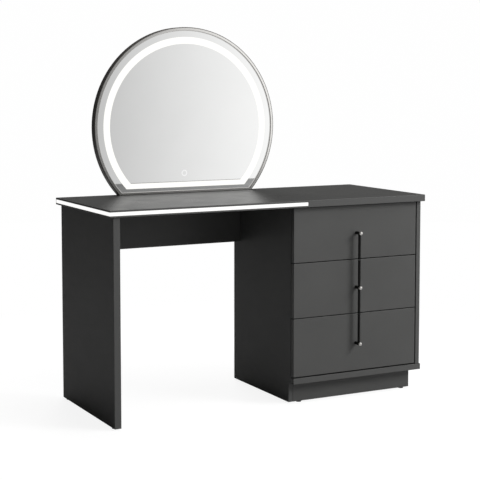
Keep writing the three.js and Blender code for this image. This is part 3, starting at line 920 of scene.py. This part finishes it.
# %% [markdown]
# ## Glass, lit band and seal
# The glass is a plate with the mirror's outline, a circle cut off straight, so it is a disc that a
# plane trims. The lit band is a ring of the same outline, and so is the pale silicone seal that holds
# the glass behind the frame's lip. The seal glows, which is a painted highlight along the glass's edge.

# %% Plates with the mirror's outline
ROUND_PLATE = math.radians(50)  # only corners sharper than this are rounded on a plate


def trimmed_disc(name, radius, foot, front, back, sides=192):
    """A disc facing the viewer, cut off straight at the height foot."""
    bpy.ops.object.select_all(action="DESELECT")
    place = (mirror_centre.x, front, mirror_centre.z)
    bpy.ops.mesh.primitive_circle_add(
        vertices=sides, radius=radius, fill_type="NGON", location=place, rotation=(math.pi / 2, 0, 0))
    disc = bpy.context.object
    disc.name = name
    settle()
    start_edit(disc)
    bpy.ops.mesh.select_all(action="SELECT")
    bpy.ops.mesh.bisect(plane_co=(0, 0, foot), plane_no=(0, 0, 1), clear_inner=True)
    bpy.ops.mesh.select_all(action="SELECT")
    if back != front:
        slide(Y * (back - front))
    end_edit()
    return disc


glass_low, glass_high = corners("mirror_glass")
glass = trimmed_disc(
    "mirror_glass_plate", (glass_high.x - glass_low.x) / 2, glass_low.z, glass_low.y, glass_high.y)
outward(glass)
soften(glass, 0.5 * MM, 2, ROUND_PLATE)
painted(glass, silvered)
finished(glass, "table", "mirror_silver", "mirror_glass")
print("glass:", len(glass.data.polygons), "faces")

# %% Lit band and seal
def outline_ring(name, radius, foot, width, foot_width, front, thickness):
    """A flat ring between two of the mirror's outlines."""
    outer = trimmed_disc(name, radius, foot, front, front)
    inner = trimmed_disc(name + "_inner", radius - width, foot + foot_width, front, front)
    only(outer)
    inner.select_set(True)
    bpy.ops.object.join()
    start_edit(outer)
    bpy.ops.mesh.select_all(action="SELECT")
    bpy.ops.mesh.delete(type="ONLY_FACE")
    bpy.ops.mesh.select_mode(type="EDGE")
    bpy.ops.mesh.select_all(action="SELECT")
    bpy.ops.mesh.bridge_edge_loops()
    bpy.ops.mesh.select_mode(type="FACE")
    bpy.ops.mesh.select_all(action="SELECT")
    slide(Y * thickness)
    end_edit()
    outward(outer)
    return outer


LIT_WIDTH = 26 * MM
LIT_FOOT_WIDTH = 20 * MM
ETCH = 0.2 * MM  # how far the etched faces stand in front of the glass
band_low, band_high = corners("mirror_light_band")
band = outline_ring(
    "mirror_lit_band", (band_high.x - band_low.x) / 2, band_low.z, LIT_WIDTH, LIT_FOOT_WIDTH,
    glass_low.y - ETCH, ETCH / 2)
painted(band, band_glow)
finished(band, "table", "mirror_light", "mirror_light_band")

SEAL_INSET = FRAME_FACE - 0.2 * MM  # from the rim, so that the lip just covers the seal's edge
SEAL_FOOT = 8 * MM
SEAL_WIDTH = 2.6 * MM
SEAL_FOOT_WIDTH = 1.6 * MM
SEAL_THICKNESS = 0.8 * MM
SEAL_GAP = 0.1 * MM  # behind the seal
seal = outline_ring(
    "mirror_glass_seal", MIRROR_RADIUS - SEAL_INSET, frame_low.z + SEAL_FOOT, SEAL_WIDTH, SEAL_FOOT_WIDTH,
    glass_low.y - SEAL_THICKNESS - SEAL_GAP, SEAL_THICKNESS)
# The seal's glow is a painted highlight; the silicone itself gives no light.
painted(seal, seal_painted_highlight)
finished(seal, "table", "mirror_light")
print("band:", len(band.data.polygons), "faces; seal:", len(seal.data.polygons), "faces")

# %% Touch switch
ICON_LINE = 0.34  # how much of the icon's radius its ring takes up
switch_low, switch_high = corners("touch_switch")
switch_centre = (switch_low + switch_high) / 2
switch_radius = (switch_high.x - switch_low.x) / 2
bpy.ops.object.select_all(action="DESELECT")
bpy.ops.mesh.primitive_circle_add(
    vertices=64, radius=switch_radius, fill_type="NGON", rotation=(math.pi / 2, 0, 0),
    location=(switch_centre.x, glass_low.y - ETCH, switch_centre.z))
switch = bpy.context.object
switch.name = "touch_switch_icon"
settle()
start_edit(switch)
bpy.ops.mesh.select_all(action="SELECT")
bpy.ops.mesh.inset(thickness=switch_radius * ICON_LINE)
bpy.ops.mesh.delete(type="FACE")
bpy.ops.mesh.select_all(action="SELECT")
slide(Y * ETCH / 2)
end_edit()
outward(switch)
painted(switch, icon_glow)
finished(switch, "table", "mirror_light", "touch_switch")
print("touch switch ring:", len(switch.data.polygons), "faces")

# %% [markdown]
# ## The mirror's back
# The back is a black moulded cover screwed to the frame, with a shallow raised field in the middle.

# %% Back cover
cover_low, cover_high = corners("mirror_back_board")
back_radius = (cover_high.x - cover_low.x) / 2
cover = trimmed_disc("mirror_back_cover", back_radius, cover_low.z, cover_low.y, cover_high.y)
outward(cover)
soften(cover, 0.5 * MM, 2, ROUND_PLATE)
painted(cover, black_plastic)
finished(cover, "table", "black_plastic", "mirror_back_board")
FIELD_INSET = 36 * MM
FIELD_RISE = 1.2 * MM
FIELD_ROOT = 1 * MM  # how deep the field's foot sits in the cover
field = trimmed_disc(
    "mirror_back_field", back_radius - FIELD_INSET, cover_low.z + FIELD_INSET,
    cover_high.y - FIELD_ROOT, cover_high.y + FIELD_RISE)
outward(field)
soften(field, 0.8 * MM, 3, ROUND_PLATE)
painted(field, black_plastic)
finished(field, "table", "black_plastic")
print("the field stands", round(FIELD_RISE / MM, 1), "mm out of the cover")

# %% Screws
SCREWS_ROUND = 9
COVER_SCREW_RADIUS = 3.2 * MM
HANDLE_SCREW_RADIUS = 4.2 * MM
SCREW_INSET = 16 * MM  # from the cover's edge
SCREW_END_GAP = math.radians(8)  # from the ends of the arc
HEAD_HEIGHT, HEAD_SLOPE, HEAD_CROWN = 0.55, 0.25, 0.12  # shares of a screw head's radius
SLOT_LENGTH, SLOT_WIDTH = 1.05, 0.26
SLOT_MIDDLE, SLOT_DEPTH = 0.6, 0.8  # shares of its height, from its own middle


def screw(name, place, radius):
    """A pan-head screw with a cross recess, facing back."""
    height = radius * HEAD_HEIGHT
    bpy.ops.object.select_all(action="DESELECT")
    bpy.ops.mesh.primitive_cylinder_add(vertices=32, radius=radius, depth=height)
    head = bpy.context.object
    head.name = name
    start_edit(head)
    choose(head, "faces", facing(Z))
    bpy.ops.mesh.inset(thickness=radius * HEAD_SLOPE)
    bpy.ops.transform.translate(value=(0, 0, radius * HEAD_CROWN))
    end_edit()
    for turn in (0, math.pi / 2):
        bpy.ops.object.select_all(action="DESELECT")
        bpy.ops.mesh.primitive_cube_add(
            size=1, location=(0, 0, height * SLOT_MIDDLE), rotation=(0, 0, turn),
            scale=(radius * SLOT_LENGTH, radius * SLOT_WIDTH, height * SLOT_DEPTH))
        cutter = bpy.context.object
        only(head)
        recess = head.modifiers.new("recess", "BOOLEAN")
        recess.operation = "DIFFERENCE"
        recess.object = cutter
        bpy.ops.object.modifier_apply(modifier=recess.name)
        bpy.data.objects.remove(cutter, do_unlink=True)
    only(head)
    bpy.ops.object.shade_smooth_by_angle(angle=math.radians(30))
    head.rotation_mode = "QUATERNION"
    head.rotation_quaternion = Y.to_track_quat("Z", "Y")
    head.location = place + Y * height / 2
    settle()
    painted(head, zinc_rail)
    return head


for number in range(SCREWS_ROUND):
    along = (sweep - 2 * SCREW_END_GAP) * number / (SCREWS_ROUND - 1)
    turn = foot_angle + SCREW_END_GAP + along
    place = mirror_centre + Vector((math.cos(turn), 0, math.sin(turn))) * (back_radius - SCREW_INSET)
    place.y = cover_high.y
    finished(screw(f"back_cover_screw_{number + 1}", place, COVER_SCREW_RADIUS), "table", "bolt_steel")
print(SCREWS_ROUND, "screws round the back cover")

# %% [markdown]
# Each handle post is held by one screw from inside the drawer, and the apron is pulled up to the leg
# and the cabinet by cams, whose holes are closed with plastic covers.

# %% Handle screws and cam covers
CAM_COVER_RADIUS = 8 * MM
CAM_COVER_HEIGHT = 0.9 * MM
CAM_COVER_RING = 0.45  # how much of a cover's radius its raised ring takes up
CAM_COVER_DISH = 0.3  # how much of its height the middle is sunk by
for drawer in DRAWERS:
    front_back = corners(f"drawer_front_{drawer}")[1].y
    cap_low, cap_high = corners(f"handle_cap_{drawer}")
    place = Vector(((cap_low.x + cap_high.x) / 2, front_back, (cap_low.z + cap_high.z) / 2))
    fixing = screw(f"handle_screw_{drawer}", place, HANDLE_SCREW_RADIUS)
    finished(fixing, "drawer_" + drawer, "bolt_steel")


def cam_cover(name, place):
    """A flat moulded cap over a cam's hole, on a face that looks back."""
    place = Vector(place)
    cover_disc = rod(name, place, place + Y * CAM_COVER_HEIGHT, CAM_COVER_RADIUS)
    start_edit(cover_disc)
    choose(cover_disc, "faces", facing(Y))
    bpy.ops.mesh.inset(thickness=CAM_COVER_RADIUS * CAM_COVER_RING)
    bpy.ops.transform.translate(value=(0, -CAM_COVER_HEIGHT * CAM_COVER_DISH, 0))
    end_edit()
    soften(cover_disc, 0.25 * MM, 2)
    painted(cover_disc, black_plastic)
    return cover_disc


apron_low, apron_high = corners("rear_apron")
CAM_INSET = 34 * MM
for side, x in (("left", apron_low.x + CAM_INSET), ("right", apron_high.x - CAM_INSET)):
    for level, z in (("upper", apron_high.z - CAM_INSET), ("lower", apron_low.z + CAM_INSET)):
        cover_disc = cam_cover(f"cam_cover_{side}_{level}", (x, apron_high.y, z))
        finished(cover_disc, "table", "black_plastic")
print("handle screws and four cam covers")

# %% [markdown]
# ## Small fittings
# The glides are moulded caps with a rounded edge. Metal parts of the frame that are right as they
# stand, such as the rails and bolts, keep their shape and get their finish.

# %% Glides, rails, bolts, driver and inlet
GLIDES = [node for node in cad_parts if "glide" in node]
GLIDE_RIM = 3 * MM
GLIDE_ROUNDING = 0.9 * MM
for node in GLIDES:
    low, high = corners(node)
    centre = (low + high) / 2
    foot, head = (centre.x, centre.y, low.z), (centre.x, centre.y, high.z)
    glide = rod(node + "_moulded", foot, head, (high.x - low.x) / 2)
    start_edit(glide)
    choose(glide, "faces", facing(-Z))
    bpy.ops.mesh.inset(thickness=GLIDE_RIM)
    end_edit()
    soften(glide, GLIDE_ROUNDING)
    painted(glide, black_plastic)
    finished(glide, "table", "glide_plastic", node)


for node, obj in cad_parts.items():
    if node.startswith(("rail_", "mirror_bolt")):
        painted(obj, zinc_rail)
painted(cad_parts["light_driver"], white_plastic)
painted(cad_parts["power_inlet"], black_plastic)
print(len(GLIDES), "glides; rails, bolts, driver and inlet refinished")

# %% [markdown]
# ## Studio
# A bright room in front and to the right shows in the mirror as a soft gradient; behind the table it is
# dim, so the satin top mirrors only the lit mirror. The floor and the backdrop are plain white.

# %% World
# Where each edge of the lit wall begins and ends, as angles from the table's front towards its right.
PANEL_START = math.radians(12), math.radians(34)
PANEL_END = math.radians(70), math.radians(120)
FRONT_START = math.radians(-50), math.radians(0)
PANEL_STRENGTH = 0.86
FRONT_STRENGTH = 0.15
ROOM_STRENGTH = 0.075
BACKDROP_STRENGTH = 0.995
world = bpy.data.worlds.new("studio")
scene.world = world
world.use_nodes = True
sky = world.node_tree
sky.nodes.clear()
direction = add(sky, "ShaderNodeTexCoord").outputs["Generated"]
parts = add(sky, "ShaderNodeSeparateXYZ", {"Vector": direction}).outputs
forward = maths(sky, "MULTIPLY", parts["Y"], -1.0)
turn = maths(sky, "ARCTAN2", parts["X"], forward)
rising = ranged(sky, turn, 0, 1, *PANEL_START, "SMOOTHSTEP")
falling = ranged(sky, turn, 1, 0, *PANEL_END, "SMOOTHSTEP")
panel = maths(sky, "MULTIPLY", rising, falling)
facing_room = ranged(sky, turn, 0, FRONT_STRENGTH, *FRONT_START, "SMOOTHSTEP")
front_half = maths(sky, "MULTIPLY", facing_room, falling)
lit_wall = maths(sky, "MULTIPLY", panel, PANEL_STRENGTH)
strength = maths(sky, "ADD", lit_wall, maths(sky, "ADD", front_half, ROOM_STRENGTH))
room = add(sky, "ShaderNodeBackground", {"Color": (1, 0.998, 0.992, 1), "Strength": strength})
white = add(sky, "ShaderNodeBackground", {"Color": (1, 1, 1, 1), "Strength": BACKDROP_STRENGTH})
seen = add(sky, "ShaderNodeLightPath").outputs["Is Camera Ray"]
both = add(sky, "ShaderNodeMixShader", {0: seen, 1: room.outputs[0], 2: white.outputs[0]})
out = add(sky, "ShaderNodeOutputWorld")
sky.links.new(both.outputs[0], out.inputs["Surface"])
print("world ready")

# %% Lights
def soft_light(name, place, target, size, power):
    """A round soft light that is not itself seen, not even in polished things."""
    data = bpy.data.lights.new(name, "AREA")
    data.shape = "DISK"
    data.size = size
    data.energy = power
    lamp = bpy.data.objects.new(name, data)
    scene.collection.objects.link(lamp)
    lamp.location = place
    lamp.rotation_euler = (Vector(target) - Vector(place)).to_track_quat("-Z", "Y").to_euler()
    lamp.visible_camera = False
    lamp.visible_glossy = False


table_middle = (cad_low + cad_high) / 2
soft_light("key", place=(3.0, -2.9, 2.9), target=table_middle, size=1.9, power=156)
soft_light("overhead", place=(0.6, -0.3, 4.0), target=table_middle, size=3.0, power=58)
soft_light("back_fill", place=(0.9, 3.2, 3.0), target=table_middle, size=2.0, power=90)

# %% [markdown]
# The floor glows almost white by itself and takes just enough light to show soft shadows near the
# table. Farther out it fades into the plain backdrop. To all but the camera, the floor is plain grey.

# %% Floor
FLOOR_RADIUS = 6.0
FLOOR_GLOW = 0.88
FLOOR_TONE = 0.16
REFLECTED_TONE = 0.3
FADE = 0.9, 2.0  # metres from the floor's middle
bpy.ops.object.select_all(action="DESELECT")
bpy.ops.mesh.primitive_circle_add(vertices=96, radius=FLOOR_RADIUS, fill_type="NGON")
floor = bpy.context.object
floor.name = "studio_floor"
floor_finish = bpy.data.materials.new("studio_floor_white")
floor_finish.use_nodes = True
ground = floor_finish.node_tree
ground.nodes.clear()
glow = add(ground, "ShaderNodeEmission", {"Color": (1, 1, 1, 1), "Strength": FLOOR_GLOW})
matt = add(ground, "ShaderNodeBsdfDiffuse", {"Color": (FLOOR_TONE, FLOOR_TONE, FLOOR_TONE, 1)})
near = add(ground, "ShaderNodeAddShader", {0: glow.outputs[0], 1: matt.outputs[0]})
far = add(ground, "ShaderNodeEmission", {"Color": (1, 1, 1, 1), "Strength": 1.0})
spot = add(ground, "ShaderNodeTexCoord").outputs["Object"]
reach = add(ground, "ShaderNodeVectorMath", {"Vector": spot}, operation="LENGTH").outputs["Value"]
fade = ranged(ground, reach, 0, 1, *FADE, "SMOOTHSTEP")
seen_floor = add(ground, "ShaderNodeMixShader", {0: fade, 1: near.outputs[0], 2: far.outputs[0]})
reflected = add(ground, "ShaderNodeBsdfDiffuse", {
    "Color": (REFLECTED_TONE, REFLECTED_TONE, REFLECTED_TONE, 1)})
looked_at = add(ground, "ShaderNodeLightPath").outputs["Is Camera Ray"]
floor_mix = add(ground, "ShaderNodeMixShader", {
    0: looked_at, 1: reflected.outputs[0], 2: seen_floor.outputs[0]})
floor_out = add(ground, "ShaderNodeOutputMaterial")
ground.links.new(floor_mix.outputs[0], floor_out.inputs["Surface"])
painted(floor, floor_finish)
print("floor ready")
